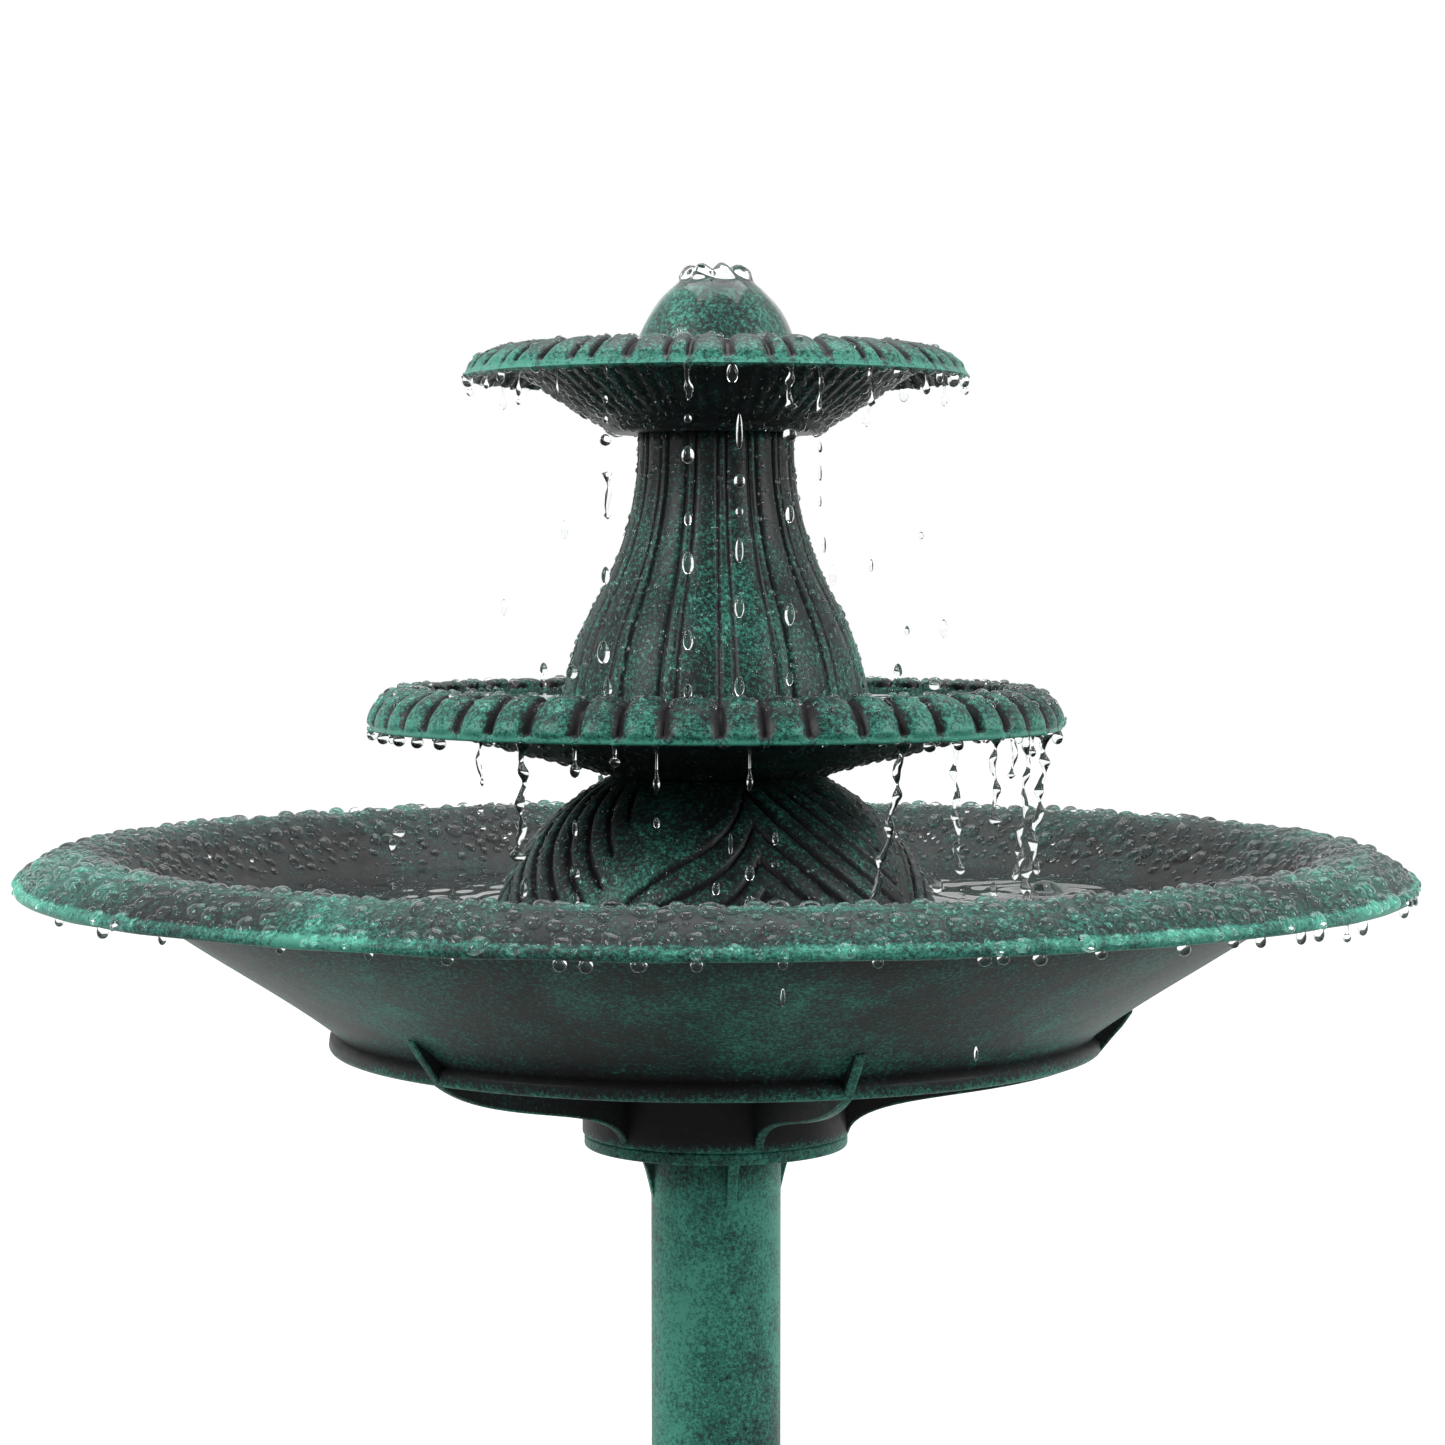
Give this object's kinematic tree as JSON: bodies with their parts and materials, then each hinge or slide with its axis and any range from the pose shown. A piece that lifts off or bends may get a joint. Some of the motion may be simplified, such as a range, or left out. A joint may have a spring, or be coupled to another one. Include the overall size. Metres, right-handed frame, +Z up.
{
  "type": "tiered pedestal garden fountain",
  "caption": "Tiered pedestal garden fountain in moulded verdigris resin: ribbed basin on a column, leaf dome over a pump, scalloped bowls and a spout dome.",
  "frame": {"origin": "on the ground at the centre of the base foot", "axes": "+Z up along the pedestal, -Y towards the viewer; the cord notch in the foot faces +Y"},
  "size_m": [0.58, 0.58, 1.016],
  "materials": {
    "verdigris_resin": "mottled verdigris, semi-matte, mint on the raised edges and charcoal in the grooves",
    "black_plastic": "moulded, fine grain",
    "pump_plastic": "satin moulded",
    "grey_plastic": "satin moulded",
    "blue_plastic": "moulded",
    "black_rubber": "matte",
    "white_ceramic": "polished",
    "stainless": "bright",
    "clear_vinyl": "clear, faintly green"
  },
  "bodies": {
    "stand": {"base_foot": "verdigris_resin", "base_screws": "stainless", "lower_column": "verdigris_resin", "column_sleeve": "black_plastic", "column_ring": "verdigris_resin", "upper_column": "verdigris_resin", "basin": "verdigris_resin", "basin_socket": "verdigris_resin", "basin_gasket": "black_rubber", "basin_nut": "black_plastic", "cord_stopper": "black_rubber", "pump_motor": "pump_plastic", "pump_volute": "pump_plastic", "pump_strainer": "pump_plastic", "pump_strainer_screws": "stainless", "pump_outlet": "grey_plastic", "pump_shaft": "white_ceramic", "pump_shaft_bushes": "black_rubber", "pump_suction_cups": "black_rubber", "pump_cord_gland": "black_rubber"},
    "tower": {"leaf_dome": "verdigris_resin", "middle_bowl": "verdigris_resin", "middle_washer": "black_rubber", "fluted_column": "verdigris_resin", "top_bowl": "verdigris_resin", "top_washer": "black_rubber", "riser_tube": "clear_vinyl"},
    "spout": {"spout_dome": "verdigris_resin"},
    "impeller": {"impeller": "blue_plastic"},
    "flow_dial": {"flow_dial": "grey_plastic"}
  },
  "joints": [
    {"name": "tower_lift", "type": "slide", "parent": "stand", "child": "tower", "axis": [0, 0, 1], "range_m": [0, 0.12]},
    {"name": "spout_lift", "type": "slide", "parent": "tower", "child": "spout", "axis": [0, 0, 1], "range_m": [0, 0.05]},
    {"name": "impeller_spin", "type": "hinge", "parent": "stand", "child": "impeller", "pos_m": [0, 0.01, 0.736], "axis": [0, 1, 0], "continuous": true},
    {"name": "flow_dial_turn", "type": "hinge", "parent": "stand", "child": "flow_dial", "pos_m": [0, -0.0192, 0.736], "axis": [0, -1, 0], "range_deg": [0, 45]}
  ]
}
